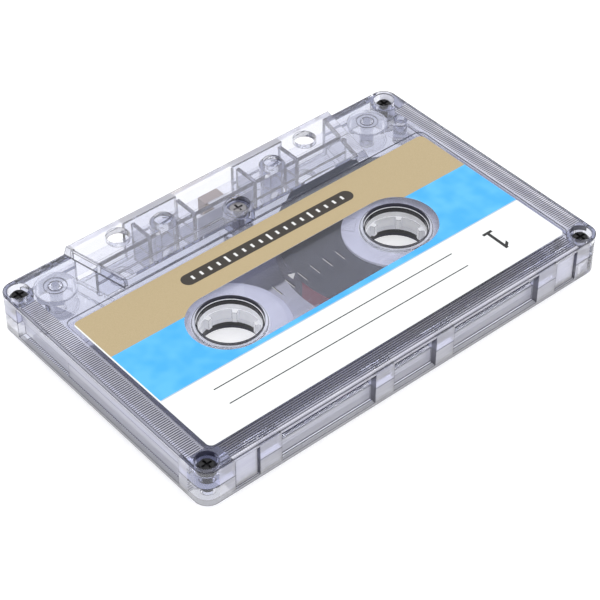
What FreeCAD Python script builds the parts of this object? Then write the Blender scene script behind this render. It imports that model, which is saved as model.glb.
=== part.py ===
import FreeCAD, Part
import math
import os
import Sketcher

# Compact tape cassette, built from its separate pieces.
# Frame: X along the long side, Y towards the rear edge, Z up. The tape edge faces -Y.
# Z = 0 is the lowest face of the thick head section, X = 0 is the middle of the shell,
# Y = 0 is the middle of the shell depth. Lengths in millimetres.

doc = FreeCAD.newDocument("cassette")
sheet = doc.addObject("Spreadsheet::Sheet", "Dims")
V = FreeCAD.Vector


class Dim:
    """A length that keeps its value together with the sheet expression behind it."""

    def __init__(self, value, text):
        self.value = float(value)
        self.text = text

    def join(self, other, sign, value):
        return Dim(value, "(" + self.text + " " + sign + " " + as_dim(other).text + ")")

    def __add__(self, other):
        return self.join(other, "+", self.value + as_dim(other).value)

    def __sub__(self, other):
        return self.join(other, "-", self.value - as_dim(other).value)

    def __mul__(self, other):
        return self.join(other, "*", self.value * as_dim(other).value)

    def __truediv__(self, other):
        return self.join(other, "/", self.value / as_dim(other).value)

    def __rsub__(self, other):
        return as_dim(other) - self

    def __neg__(self):
        return Dim(-self.value, "(0 - " + self.text + ")")


def as_dim(value):
    if isinstance(value, Dim):
        return value
    if value < 0:
        return Dim(value, "(0 - %.6f)" % -value)
    return Dim(value, "%.6f" % value)


sheet_row = [0]


def dim(alias, value):
    """One driving dimension: a row of the sheet with its name."""
    sheet_row[0] += 1
    row = str(sheet_row[0])
    sheet.set("A" + row, alias)
    sheet.set("B" + row, "%.4f" % value)
    sheet.setAlias("B" + row, alias)
    return Dim(value, "Dims." + alias)


def smallest(*lengths):
    """The smallest of several rooms."""
    text = "min(" + "; ".join(d.text for d in lengths) + ")"
    return Dim(min(d.value for d in lengths), text)


def derived(alias, length):
    """A place or size that follows from driving dimensions, kept in the sheet by name."""
    sheet_row[0] += 1
    row = str(sheet_row[0])
    sheet.set("A" + row, alias)
    sheet.set("B" + row, "=" + length.text.replace("Dims.", ""))
    sheet.setAlias("B" + row, alias)
    return Dim(length.value, "Dims." + alias)


# Outer shell
total_height = dim("total_height", 12.0)
shell_length = dim("shell_length", 100.4)
shell_depth = dim("shell_depth", 63.8)
body_low = dim("body_low", 1.65)
plate = dim("plate_thickness", 1.5)
corner_radius = dim("corner_radius", 3.0)
front_wall = dim("front_wall", 0.8)
side_wall = dim("side_wall", 2.1)
rear_wall_low = dim("rear_wall_low", 2.4)
rear_wall_high = dim("rear_wall_high", 3.3)
edge_lip = dim("edge_lip", 0.85)
thin_wall = dim("thin_rear_wall", 0.9)

mid = derived("parting_height", total_height / 2)
plate_top = derived("plate_top", body_low + plate)
half_x = derived("half_length", shell_length / 2)
half_y = derived("half_depth", shell_depth / 2)

# Recesses of the ends, measured from the front and rear edges
side_recess = dim("side_recess_depth", 1.1)
side_slot = dim("side_slot_depth", 1.6)
side_recess_rear_inset = dim("side_recess_rear_inset", 7.4)
side_recess_end = derived("side_recess_end", half_y - side_recess_rear_inset)
side_slot_front_inset = dim("side_slot_front_inset", 6.4)
side_slot_start = derived("side_slot_start", half_y - side_slot_front_inset)
side_slot_length = dim("side_slot_length", 15.0)
side_slot_end = derived("side_slot_end", side_slot_start - side_slot_length)
lip_notch_inset = dim("lip_notch_front_inset", 14.5)
lip_notch_length = dim("lip_notch_length", 1.4)
lip_notch_depth = dim("lip_notch_depth", 0.8)
lip_notch_rise = dim("lip_notch_rise", 0.35)

# Recesses of the rear edge, measured inwards from the ends
tab_cavity_inset = dim("tab_cavity_inset", 7.0)
tab_outer = derived("tab_cavity_outer", half_x - tab_cavity_inset)
tab_cavity_width = dim("tab_cavity_width", 5.6)
tab_inner = derived("tab_cavity_inner", tab_outer - tab_cavity_width)
tab_depth = dim("tab_cavity_depth", 1.6)
tab_gap = dim("tab_gap", 0.3)
tab_thick = dim("tab_thickness", 0.5)
tab_inset = dim("tab_inset", 0.4)
rear_recess_land = dim("rear_recess_land", 5.1)
recess_outer = derived("rear_recess_outer", tab_inner - rear_recess_land)
recess_inner = dim("rear_recess_inner", 10.0)
centre_recess = dim("centre_recess_half", 5.3)

# Guide rollers, posts and screws, measured from the corners of the shell
roller_core = dim("roller_core_radius", 3.9)
roller_flange = dim("roller_flange_radius", 4.3)
roller_side_inset = dim("roller_side_inset", 9.9)
roller_x = derived("roller_x", half_x - roller_side_inset)
roller_front_inset = dim("roller_front_inset", 5.3)
roller_y = derived("roller_y", half_y - roller_front_inset)
roller_low = dim("roller_low", 3.5)
roller_groove = dim("roller_groove_low", 4.0)
roller_bore = dim("roller_bore_radius", 1.45)
roller_pin_fit = dim("roller_pin_clearance", 0.05)
pin_boss = dim("roller_boss_radius", 2.3)
pin_end_gap = dim("roller_end_gap", 0.1)
pin_entry = dim("roller_pin_entry", 0.1)
pin_boss_low = derived("roller_boss_low", total_height - roller_low + pin_end_gap)
pin_top = derived("roller_pin_top", pin_boss_low + pin_entry)
guide_post_side_inset = dim("guide_post_side_inset", 4.0)
guide_post_x = derived("guide_post_x", half_x - guide_post_side_inset)
guide_post_front_inset = dim("guide_post_front_inset", 9.4)
guide_post_y = derived("guide_post_y", half_y - guide_post_front_inset)
guide_post = dim("guide_post_radius", 1.5)
dowel = dim("dowel_radius", 0.8)
dowel_fit = dim("dowel_clearance", 0.05)
dowel_length = dim("dowel_length", 1.4)
dowel_end_gap = dim("dowel_end_gap", 0.2)
dowel_top = derived("dowel_top", mid + dowel_length)
dowel_hole_top = derived("dowel_hole_top", dowel_top + dowel_end_gap)
screw_side_inset = dim("screw_side_inset", 3.0)
screw_x = derived("screw_x", half_x - screw_side_inset)
screw_edge_inset = dim("screw_edge_inset", 3.0)
screw_y = derived("screw_y", half_y - screw_edge_inset)
boss_radius = dim("screw_boss_radius", 2.8)
well_radius = dim("screw_well_radius", 2.2)
well_depth = dim("screw_well_depth", 3.85)
well_floor = derived("screw_well_floor", total_height - well_depth)
screw_head = dim("screw_head_radius", 1.9)
screw_head_tall = dim("screw_head_height", 1.2)
screw_shank = dim("screw_shank_radius", 0.95)
shank_hole = dim("shank_hole_radius", 1.05)
pilot_hole = dim("pilot_hole_radius", 1.0)
shank_end = dim("screw_shank_end", 3.2)
pilot_run_out = dim("pilot_hole_run_out", 0.3)
pilot_end = derived("pilot_hole_end", shank_end - pilot_run_out)
cross_length = dim("screw_cross_length", 2.2)
cross_width = dim("screw_cross_width", 0.5)
cross_depth = dim("screw_cross_depth", 0.6)

# Thick head section along the tape edge: its foot ends beside the rollers
head_roller_gap = dim("head_roller_gap", 1.5)
head_foot_front = derived("head_foot_front_half", roller_x - roller_flange - head_roller_gap)
head_taper = dim("head_taper", 3.2)
head_foot_rear = derived("head_foot_rear_half", head_foot_front - head_taper)
head_front_draft = dim("head_front_draft", 0.7)
head_front = derived("head_front_half", head_foot_front - head_front_draft)
head_rear_draft = dim("head_rear_draft", 0.4)
head_rear = derived("head_rear_half", head_foot_rear - head_rear_draft)
head_depth = dim("head_depth", 14.9)
head_rear_y = derived("head_rear_y", half_y - head_depth)
head_rear_slope = dim("head_rear_slope", 0.9)
head_foot_y = derived("head_foot_rear_y", head_rear_y - head_rear_slope)
head_skin = dim("head_side_skin", 1.2)
opening_end_wall = dim("opening_end_wall", 2.1)
opening_outer = derived("side_opening_outer", head_foot_front - opening_end_wall)
tape_room_depth = dim("tape_room_depth", 7.1)
room_wall_y = derived("room_wall_y", half_y - tape_room_depth)
room_wall = dim("room_wall_thickness", 0.8)
room_wall_end_gap = dim("room_wall_end_gap", 0.2)
room_wall_half = derived("room_wall_half", opening_outer - room_wall_end_gap)
guide_wall_front_inset = dim("guide_wall_front_inset", 1.7)
guide_front_y = derived("guide_wall_front_y", half_y - guide_wall_front_inset)

# Stations along the head section: they share out the length that the rollers leave it
opening_centre = derived("centre_opening_half", opening_outer * 0.2284)
locate_x = derived("locating_hole_x", opening_outer * 0.43426)
guide_x = derived("guide_wall_x", opening_outer * 0.57407)
opening_inner = derived("side_opening_inner", opening_outer * 0.62963)
capstan_x = derived("capstan_hole_x", opening_outer * 0.7429)
capstan_hole_inset = dim("capstan_hole_inset", 3.8)
capstan_y = derived("capstan_hole_y", half_y - capstan_hole_inset)
capstan_radius = dim("capstan_hole_radius", 2.35)
locating_hole_inset = dim("locating_hole_inset", 5.3)
locate_y = derived("locating_hole_y", half_y - locating_hole_inset)
locate_radius = dim("locating_hole_radius", 1.9)
locate_tube = dim("locating_tube_radius", 2.7)

# Hubs and their seats in the shell
hub_x = derived("hub_x", half_x * 0.423307)
hub_y = dim("hub_y", 3.3)
hub_hole = dim("hub_hole_radius", 6.55)
hub_bore = dim("hub_bore_radius", 6.2)
hub_band = dim("hub_band_radius", 5.9)
hub_collar = dim("hub_collar_radius", 7.2)
hub_radius = dim("hub_radius", 11.0)
hub_low = dim("hub_low", 3.6)
collar_low = dim("hub_collar_low", 2.75)
run_fit = dim("running_clearance", 0.08)
collar_gap = dim("collar_end_gap", 0.1)
band_low = dim("hub_band_low", 4.8)
tooth_tip = dim("tooth_tip_radius", 4.9)
tooth_width = dim("tooth_width", 1.5)
tooth_count = dim("tooth_count", 6)
clamp_depth = dim("clamp_depth", 2.8)
clamp_floor = derived("clamp_floor_radius", hub_radius - clamp_depth)
clamp_half = dim("clamp_half_width", 1.95)
clamp_gap = dim("clamp_side_gap", 0.05)
clamp_angle = dim("clamp_angle", 50)
tooth_angle = dim("tooth_angle", 18)

# Tape: the full winding takes the smallest of the rooms round its hub
tape_low = dim("tape_low", 4.1)
leader_layer = dim("leader_layer", 1.2)
start_radius = derived("leader_winding_radius", hub_radius + leader_layer)
winding_side_gap = dim("winding_side_gap", 2.65)
side_room = half_x - side_wall - winding_side_gap - hub_x
winding_rear_gap = dim("winding_rear_gap", 1.1)
rear_room = half_y - rear_wall_high - winding_rear_gap - hub_y
winding_hub_gap = dim("winding_hub_gap", 3.0)
hub_room = hub_x * 2 - start_radius - winding_hub_gap
pack_radius = derived("full_pack_radius", smallest(side_room, rear_room, hub_room))
tape_thick = dim("tape_ribbon_thickness", 0.1)
tape_lift = dim("tape_ribbon_clearance", 0.05)

# Centre screw
centre_screw_inset = dim("centre_screw_inset", 11.5)
centre_screw_y = derived("centre_screw_y", half_y - centre_screw_inset)
centre_boss = dim("centre_boss_radius", 3.1)
centre_well = dim("centre_well_radius", 2.45)
centre_well_depth = dim("centre_well_depth", 2.2)
centre_floor = derived("centre_well_floor", total_height - centre_well_depth)
centre_head = dim("centre_screw_head_radius", 2.15)

# Pressure pad, its leaf spring and the shield plate, between the tape and the room wall
pad_half = dim("pad_half_width", 2.4)
pad_tape_gap = dim("pad_tape_gap", 0.05)
pad_front_y = derived("pad_front_y", roller_y + roller_core + tape_lift - pad_tape_gap)
shield_thick = dim("shield_thickness", 0.2)
spring_thick = dim("spring_thickness", 0.2)
spring_rise = derived("spring_rise", (pad_front_y - room_wall_y - shield_thick) * 0.5454545)
pad_back_y = derived("pad_back_y", room_wall_y + shield_thick + spring_rise)
pad_low = dim("pad_low", 4.0)
spring_low = dim("spring_low", 4.3)
spring_flat_margin = dim("spring_flat_margin", 0.3)
spring_flat = derived("spring_flat_half", pad_half + spring_flat_margin)
spring_end_gap = dim("spring_end_gap", 0.6)
spring_end_x = derived("spring_end_half", opening_centre - spring_end_gap)
spring_foot_length = dim("spring_foot_length", 0.9)
spring_foot_x = derived("spring_foot_half", spring_end_x - spring_foot_length)
shield_end_gap = dim("shield_end_gap", 0.4)
shield_half = derived("shield_half_width", opening_centre - shield_end_gap)
shield_low = dim("shield_low", 3.2)
shield_flange_depth = dim("shield_flange_depth", 2.4)
shield_flange_y = derived("shield_flange_y", room_wall_y + shield_flange_depth)

# Labels and slip sheets, measured from the edges of the shell
label_sink = dim("label_recess_depth", 0.15)
label_thick = dim("label_thickness", 0.1)
label_side_inset = dim("label_side_inset", 5.4)
label_half = derived("label_half_length", half_x - label_side_inset)
label_front_inset = dim("label_front_inset", 17.2)
label_front_y = derived("label_front_y", half_y - label_front_inset)
label_rear_inset = dim("label_rear_inset", 5.0)
label_rear_y = derived("label_rear_y", half_y - label_rear_inset)
label_corner = dim("label_corner_radius", 1.5)
seat_side_margin = dim("label_seat_side_margin", 0.9)
seat_front_margin = dim("label_seat_front_margin", 1.25)
seat_rear_margin = dim("label_seat_rear_margin", 0.4)
label_slot = dim("label_slot_radius", 8.7)
slip_thick = dim("slip_sheet_thickness", 0.1)
slip_sheet_side_inset = dim("slip_sheet_side_inset", 4.7)
slip_half = derived("slip_sheet_half_length", half_x - slip_sheet_side_inset)
slip_sheet_front_inset = dim("slip_sheet_front_inset", 15.9)
slip_front_y = derived("slip_sheet_front_y", half_y - slip_sheet_front_inset)
slip_sheet_rear_gap = dim("slip_sheet_rear_gap", 0.4)
slip_rear_y = derived("slip_sheet_rear_y", half_y - rear_wall_high - slip_sheet_rear_gap)
slip_chamfer = dim("slip_sheet_chamfer", 4.0)
slip_hole = dim("slip_sheet_hole_radius", 7.6)

doc.recompute()

OVER = 0.6


def bind(obj, path, value):
    obj.setExpression(path, as_dim(value).text)


def origin_plane(body, role):
    for feature in body.Origin.OriginFeatures:
        if feature.Role == role:
            return feature


def origin_axis(body, role):
    return origin_plane(body, role)


def new_body(label):
    body = doc.addObject("PartDesign::Body", label)
    body.Label = label
    return body


def path_of(loop):
    """Turns a named outline into points with optional arcs to the next point."""
    kind = loop[0]
    if kind == "rect":
        x0, x1, y0, y1 = [as_dim(v) for v in loop[1:]]
        return [(x0, y0, None), (x1, y0, None), (x1, y1, None), (x0, y1, None)]
    if kind == "poly":
        return [(as_dim(x), as_dim(y), None) for x, y in loop[1]]
    if kind == "round":
        x0, x1, y0, y1, r = [as_dim(v) for v in loop[1:]]
        return [
            (x0 + r, y0, None),
            (x1 - r, y0, (r, x1 - r, y0 + r)),
            (x1, y0 + r, None),
            (x1, y1 - r, (r, x1 - r, y1 - r)),
            (x1 - r, y1, None),
            (x0 + r, y1, (r, x0 + r, y1 - r)),
            (x0, y1 - r, None),
            (x0, y0 + r, (r, x0 + r, y0 + r)),
        ]
    if kind == "slot":
        x0, x1, y, r = [as_dim(v) for v in loop[1:]]
        return [
            (x0, y - r, None),
            (x1, y - r, (r, x1, y, "half")),
            (x1, y + r, None),
            (x0, y + r, (r, x0, y, "half")),
        ]
    return loop[1]


def add_loop(sketch, loop):
    """Draws one closed outline and ties every point of it to the sheet."""
    first = sketch.GeometryCount
    bound = []
    if loop[0] == "circle":
        x, y, r = [as_dim(v) for v in loop[1:]]
        circle = Part.Circle(V(x.value, y.value, 0), V(0, 0, 1), r.value)
        sketch.addGeometry(circle, False)
        rules = [("DistanceX", -1, 1, first, 3, x.value), ("DistanceY", -1, 1, first, 3, y.value)]
        for rule, target in zip(rules, (x, y)):
            number = sketch.addConstraint(Sketcher.Constraint(*rule))
            bound.append((number, target))
        number = sketch.addConstraint(Sketcher.Constraint("Radius", first, r.value))
        bound.append((number, r))
    else:
        points = path_of(loop)
        count = len(points)
        starts = []
        ends = []
        for i in range(count):
            x, y, arc = points[i]
            nx, ny, unused = points[(i + 1) % count]
            if arc is None:
                a = V(x.value, y.value, 0)
                b = V(nx.value, ny.value, 0)
                sketch.addGeometry(Part.LineSegment(a, b), False)
                starts.append(1)
                ends.append(2)
            else:
                r, cx, cy = [as_dim(v) for v in arc[:3]]
                a0 = math.atan2(y.value - cy.value, x.value - cx.value)
                a1 = math.atan2(ny.value - cy.value, nx.value - cx.value)
                clockwise = "clockwise" in arc[3:]
                if clockwise:
                    a0, a1 = a1, a0
                if a1 <= a0:
                    a1 += 2 * math.pi
                base = Part.Circle(V(cx.value, cy.value, 0), V(0, 0, 1), r.value)
                sketch.addGeometry(Part.ArcOfCircle(base, a0, a1), False)
                starts.append(2 if clockwise else 1)
                ends.append(1 if clockwise else 2)
        for i in range(count):
            j = (i + 1) % count
            rule = Sketcher.Constraint("Coincident", first + i, ends[i], first + j, starts[j])
            sketch.addConstraint(rule)
        for i in range(count):
            x, y, arc = points[i]
            geo = first + i
            rule = Sketcher.Constraint("DistanceX", -1, 1, geo, starts[i], x.value)
            bound.append((sketch.addConstraint(rule), x))
            rule = Sketcher.Constraint("DistanceY", -1, 1, geo, starts[i], y.value)
            bound.append((sketch.addConstraint(rule), y))
            if arc is not None and "half" in arc[3:]:
                middle = as_dim(arc[1])
                rule = Sketcher.Constraint("DistanceX", -1, 1, geo, 3, middle.value)
                bound.append((sketch.addConstraint(rule), middle))
            elif arc is not None:
                rule = Sketcher.Constraint("Radius", geo, as_dim(arc[0]).value)
                bound.append((sketch.addConstraint(rule), as_dim(arc[0])))
    for number, target in bound:
        if "Dims." in target.text:
            sketch.setExpression("Constraints[%d]" % number, target.text)


def new_sketch(body, name, loops, level=0.0, role="XY_Plane"):
    sketch = body.newObject("Sketcher::SketchObject", name)
    sketch.AttachmentSupport = [(origin_plane(body, role), "")]
    sketch.MapMode = "FlatFace"
    lift = as_dim(level)
    sketch.AttachmentOffset = FreeCAD.Placement(V(0, 0, lift.value), FreeCAD.Rotation())
    bind(sketch, "AttachmentOffset.Base.z", lift)
    for loop in loops:
        add_loop(sketch, loop)
    sketch.Visibility = False
    return sketch


def pad(body, name, loops, low, high):
    sketch = new_sketch(body, name + "_outline", loops, low)
    feature = body.newObject("PartDesign::Pad", name)
    feature.Profile = sketch
    feature.Length = (as_dim(high) - low).value
    bind(feature, "Length", as_dim(high) - low)
    return feature


def cut(body, name, loops, low, high):
    sketch = new_sketch(body, name + "_outline", loops, high)
    feature = body.newObject("PartDesign::Pocket", name)
    feature.Profile = sketch
    feature.Length = (as_dim(high) - low).value
    bind(feature, "Length", as_dim(high) - low)
    return feature


def turn(body, name, points):
    """Revolves a closed outline of (radius, height) points about the body's Z axis."""
    sketch = new_sketch(body, name + "_outline", [("poly", points)], 0.0, "XZ_Plane")
    feature = body.newObject("PartDesign::Revolution", name)
    feature.Profile = sketch
    feature.ReferenceAxis = (origin_axis(body, "Z_Axis"), [""])
    feature.Angle = 360.0
    return feature


def place(body, x, y, z=0.0, angle=None):
    body.Placement = FreeCAD.Placement(
        V(as_dim(x).value, as_dim(y).value, as_dim(z).value), FreeCAD.Rotation())
    bind(body, "Placement.Base.x", x)
    bind(body, "Placement.Base.y", y)
    bind(body, "Placement.Base.z", z)
    if angle is not None:
        body.Placement.Rotation = FreeCAD.Rotation(V(0, 0, 1), as_dim(angle).value)
        bind(body, "Placement.Rotation.Angle", angle)


def both(loops):
    """An outline list and its mirror image in X."""
    result = list(loops)
    for loop in loops:
        if loop[0] == "rect":
            result.append(("rect", -as_dim(loop[2]), -as_dim(loop[1]), loop[3], loop[4]))
        else:
            result.append(("circle", -as_dim(loop[1]), loop[2], loop[3]))
    return result


def build_half(label, upper):
    """One half of the shell. The upper half is the lower one seen in the parting plane."""
    body = new_body(label)

    def span(low, high):
        if upper:
            return total_height - high, total_height - low
        return as_dim(low), as_dim(high)

    def add(name, loops, low, high):
        a, b = span(low, high)
        return pad(body, name, loops, a, b)

    def remove(name, loops, low, high):
        a, b = span(low, high)
        return cut(body, name, loops, a, b)

    outline = ("round", -half_x, half_x, -half_y, half_y, corner_radius)
    add("outer_plate", [outline], body_low, plate_top)

    # The raised head section is a loft between its foot and its smaller face.
    face_level = total_height if upper else as_dim(0.0)
    foot_level = total_height - body_low if upper else body_low
    face_points = [
        (-head_front, -half_y), (head_front, -half_y),
        (head_rear, -head_rear_y), (-head_rear, -head_rear_y)]
    foot_points = [
        (-head_foot_front, -half_y), (head_foot_front, -half_y),
        (head_foot_rear, -head_foot_y), (-head_foot_rear, -head_foot_y)]
    foot = new_sketch(body, "head_foot", [("poly", foot_points)], foot_level)
    face = new_sketch(body, "head_face", [("poly", face_points)], face_level)
    loft = body.newObject("PartDesign::AdditiveLoft", "head_section")
    loft.Profile = foot
    loft.Sections = [face]
    loft.Ruled = True

    rear_wall = rear_wall_high if upper else rear_wall_low
    inner = ("rect", -(half_x - side_wall), half_x - side_wall,
             -(half_y - front_wall), half_y - rear_wall)
    add("outer_wall", [outline, inner], plate_top, mid)

    # Room inside the head section, from its floor up to the inner face of the plate
    room = [
        (-(head_front - head_skin), -(half_y - front_wall)),
        (head_front - head_skin, -(half_y - front_wall)),
        (head_rear - head_skin, -(head_rear_y + 0.9)),
        (-(head_rear - head_skin), -(head_rear_y + 0.9))]
    remove("head_room", [("poly", room)], plate, plate_top)

    # Bosses, posts and walls that stand on the floor of the head room or on the plate
    add("corner_bosses", both([
        ("circle", screw_x, screw_y, boss_radius),
        ("circle", screw_x, -screw_y, boss_radius)]), plate_top, mid)
    add("centre_boss", [("circle", 0.0, -centre_screw_y, centre_boss)], plate, mid)
    add("room_wall", [("rect", -room_wall_half, room_wall_half,
                       -room_wall_y, -(room_wall_y - room_wall))], plate, mid)
    add("guide_walls", both([
        ("rect", opening_centre, opening_centre + room_wall, -guide_front_y, -(room_wall_y - 0.2)),
        ("rect", guide_x, guide_x + room_wall, -guide_front_y, -(room_wall_y - 0.2))]),
        plate, mid)
    add("locating_tubes", both([("circle", locate_x, -locate_y, locate_tube)]), plate, mid)
    add("guide_posts", both([("circle", guide_post_x, -guide_post_y, guide_post)]),
        plate_top, mid)
    if upper:
        add("roller_bosses", both([("circle", roller_x, -roller_y, pin_boss)]),
            plate_top, total_height - pin_boss_low)
    else:
        add("roller_pins", both([
            ("circle", roller_x, -roller_y, roller_bore - roller_pin_fit)]), plate_top, pin_top)
        add("dowels", both([("circle", guide_post_x, -guide_post_y, dowel)]), mid, dowel_top)

    # Openings of the tape edge
    remove("front_openings", both([
        ("rect", opening_inner, opening_outer, -(half_y + OVER), -(half_y - front_wall))]) + [
        ("rect", -opening_centre, opening_centre, -(half_y + OVER), -(half_y - front_wall))],
        plate, mid)

    # Round holes
    remove("capstan_holes", both([("circle", capstan_x, -capstan_y, capstan_radius)]), -OVER, plate)
    remove("locating_holes", both([("circle", locate_x, -locate_y, locate_radius)]), -OVER, mid)
    hubs = both([("circle", hub_x, hub_y, hub_hole)])
    remove("hub_holes", hubs, body_low - OVER, plate_top)
    remove("hub_seats", both([("circle", hub_x, hub_y, hub_collar + run_fit)]),
           collar_low - collar_gap, plate_top)
    if upper:
        remove("roller_pin_sockets", both([
            ("circle", roller_x, -roller_y, roller_bore)]),
            total_height - pin_top - pin_end_gap, total_height - pin_boss_low)
        remove("dowel_sockets", both([
            ("circle", guide_post_x, -guide_post_y, dowel + dowel_fit)]),
            total_height - dowel_hole_top, mid)

    # Screw wells and shank holes
    corners = both([("circle", screw_x, screw_y, well_radius),
                    ("circle", screw_x, -screw_y, well_radius)])
    holes = both([("circle", screw_x, screw_y, shank_hole),
                  ("circle", screw_x, -screw_y, shank_hole)])
    pilots = both([("circle", screw_x, screw_y, pilot_hole),
                   ("circle", screw_x, -screw_y, pilot_hole)])
    if upper:
        remove("screw_wells", corners, -OVER, total_height - well_floor)
        remove("shank_holes", holes, total_height - well_floor - 0.2, mid)
        remove("centre_well", [("circle", 0.0, -centre_screw_y, centre_well)],
               -OVER, total_height - centre_floor)
        remove("centre_shank_hole", [("circle", 0.0, -centre_screw_y, shank_hole)],
               total_height - centre_floor - 0.2, mid)
    else:
        remove("pilot_holes", pilots + [("circle", 0.0, -centre_screw_y, pilot_hole)],
               pilot_end, mid)

    # Recesses of the rear edge and of the ends, with a lip left at the outer face
    lip = body_low + edge_lip
    rear_cut = half_y - rear_wall + thin_wall
    remove("rear_recesses", both([
        ("rect", recess_inner, recess_outer, rear_cut, half_y + OVER)]) + [
        ("rect", -centre_recess, centre_recess, rear_cut, half_y + OVER)], lip, mid)
    remove("side_recesses", both([
        ("rect", half_x - side_recess, half_x + OVER, -side_slot_start, side_recess_end)]),
        lip, mid)
    remove("tab_cavities", both([
        ("rect", tab_inner, tab_outer, half_y - tab_depth, half_y + OVER)]), lip, mid)
    if upper:
        notch_y = half_y - lip_notch_inset
        remove("lip_notches", both([
            ("rect", half_x - lip_notch_depth, half_x + OVER,
             -notch_y, -(notch_y - lip_notch_length))]), lip - lip_notch_rise, mid)
    else:
        remove("side_slots", both([
            ("rect", half_x - side_slot, half_x + OVER, -side_slot_start, -side_slot_end)]),
            lip, mid)
        add("break_out_tabs", both([
            ("rect", tab_inner + tab_gap, tab_outer - tab_gap,
             half_y - tab_inset - tab_thick, half_y - tab_inset)]),
            lip, total_height - lip - tab_gap)

    # Shallow seat of the label
    remove("label_seat", [
        ("round", -(label_half + seat_side_margin), label_half + seat_side_margin,
         -(label_front_y + seat_front_margin), label_rear_y + seat_rear_margin,
         label_corner)],
        body_low - OVER, body_low + label_sink)
    return body


shell_b = build_half("shell_b", False)
shell_a = build_half("shell_a", True)


def build_hub(label, side):
    """A hub: a turned ring with collars, six drive teeth and the notch of its clamp."""
    body = new_body(label)
    hub_high = total_height - hub_low
    collar_high = total_height - collar_low
    band_high = total_height - band_low
    turn(body, "ring", [
        (hub_bore, collar_low), (hub_collar, collar_low), (hub_collar, hub_low),
        (hub_radius, hub_low), (hub_radius, hub_high), (hub_collar, hub_high),
        (hub_collar, collar_high), (hub_bore, collar_high), (hub_bore, band_high),
        (hub_band, band_high), (hub_band, band_low), (hub_bore, band_low)])
    tooth_root = hub_band + 0.15
    tip_half = tooth_width * 0.32
    root_half = tooth_width / 2
    pad(body, "tooth", [("poly", [
        (tooth_root, -root_half), (tooth_root, root_half),
        (tooth_tip, tip_half), (tooth_tip, -tip_half)])], band_low, band_high)
    tooth = body.Tip
    pattern = body.newObject("PartDesign::PolarPattern", "teeth")
    pattern.Originals = [tooth]
    pattern.Axis = (origin_axis(body, "Z_Axis"), [""])
    pattern.Angle = 360.0
    pattern.Occurrences = 6
    bind(pattern, "Occurrences", tooth_count)
    body.Tip = pattern
    edge = clamp_half + clamp_gap
    lag = math.radians(clamp_angle.value - tooth_angle.value)
    corners = [
        (clamp_floor, -edge), (hub_radius + 1.0, -edge), (hub_radius + 1.0, edge),
        (clamp_floor, edge)]
    cut(body, "clamp_notch", [("poly", [
        (u * math.cos(lag) + w * math.sin(lag), w * math.cos(lag) - u * math.sin(lag))
        for u, w in corners])], hub_low, hub_high)
    place(body, side * hub_x, hub_y, 0.0, -tooth_angle)
    return body


def build_clamp(label, side):
    """The wedge that holds the leader end in the hub notch, flush with the hub rim."""
    body = new_body(label)
    chord = math.sqrt(hub_radius.value ** 2 - clamp_half.value ** 2)
    rim = Dim(chord, "sqrt(Dims.hub_radius ^ 2 - Dims.clamp_half_width ^ 2)")
    pad(body, "wedge", [("path", [
        (clamp_floor, -clamp_half, None),
        (rim, -clamp_half, (hub_radius, 0.0, 0.0)),
        (rim, clamp_half, None),
        (clamp_floor, clamp_half, None)])], hub_low, total_height - hub_low)
    place(body, side * hub_x, hub_y, 0.0, -clamp_angle)
    return body


minus = as_dim(-1.0)
plus = as_dim(1.0)
supply_hub = build_hub("supply_hub", minus)
takeup_hub = build_hub("takeup_hub", plus)
supply_clamp = build_clamp("supply_hub_clamp", minus)
takeup_clamp = build_clamp("takeup_hub_clamp", plus)


def build_winding(label, side, radius):
    """Wound tape: a flat ring round the hub."""
    body = new_body(label)
    pad(body, "winding", [
        ("circle", 0.0, 0.0, radius), ("circle", 0.0, 0.0, hub_radius)],
        tape_low, total_height - tape_low)
    place(body, side * hub_x, hub_y)
    return body


supply_pack = build_winding("supply_tape_pack", minus, pack_radius)
takeup_winding = build_winding("takeup_leader_winding", plus, start_radius)


def build_roller(label, side):
    """A flanged guide roller, turned about its pin."""
    body = new_body(label)
    high = total_height - roller_low
    groove_high = total_height - roller_groove
    turn(body, "roller", [
        (roller_bore, roller_low), (roller_flange, roller_low), (roller_flange, roller_groove),
        (roller_core, roller_groove), (roller_core, groove_high), (roller_flange, groove_high),
        (roller_flange, high), (roller_bore, high)])
    place(body, side * roller_x, -roller_y)
    return body


roller_left = build_roller("guide_roller_left", minus)
roller_right = build_roller("guide_roller_right", plus)


def build_screw(label, x, y, seat, head_radius):
    """A cross-head screw: turned head and shank, with a cross cut into the head."""
    body = new_body(label)
    top = seat + screw_head_tall
    rim = head_radius - 0.5
    turn(body, "blank", [
        (0.0, shank_end), (screw_shank, shank_end + 0.5), (screw_shank, seat),
        (head_radius, seat), (head_radius, seat + screw_head_tall * 0.5),
        (rim, top), (0.0, top)])
    half_l = cross_length / 2
    half_w = cross_width / 2
    cut(body, "cross", [("poly", [
        (-half_l, -half_w), (-half_w, -half_w), (-half_w, -half_l), (half_w, -half_l),
        (half_w, -half_w), (half_l, -half_w), (half_l, half_w), (half_w, half_w),
        (half_w, half_l), (-half_w, half_l), (-half_w, half_w), (-half_l, half_w)])],
        top - cross_depth, top + 0.4)
    place(body, x, y)
    return body


screws = []
for end, sx in (("left", minus), ("right", plus)):
    for edge, sy in (("front", minus), ("rear", plus)):
        screws.append(build_screw(
            "screw_" + edge + "_" + end, sx * screw_x, sy * screw_y, well_floor, screw_head))
screws.append(build_screw("screw_centre", 0.0, -centre_screw_y, centre_floor, centre_head))


# Pressure pad on its leaf spring, in front of the shield plate
pressure_pad = new_body("pressure_pad")
pad(pressure_pad, "felt", [("rect", -pad_half, pad_half, 0.0, pad_front_y - pad_back_y)],
    pad_low, total_height - pad_low)
place(pressure_pad, 0.0, -pad_front_y)

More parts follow.
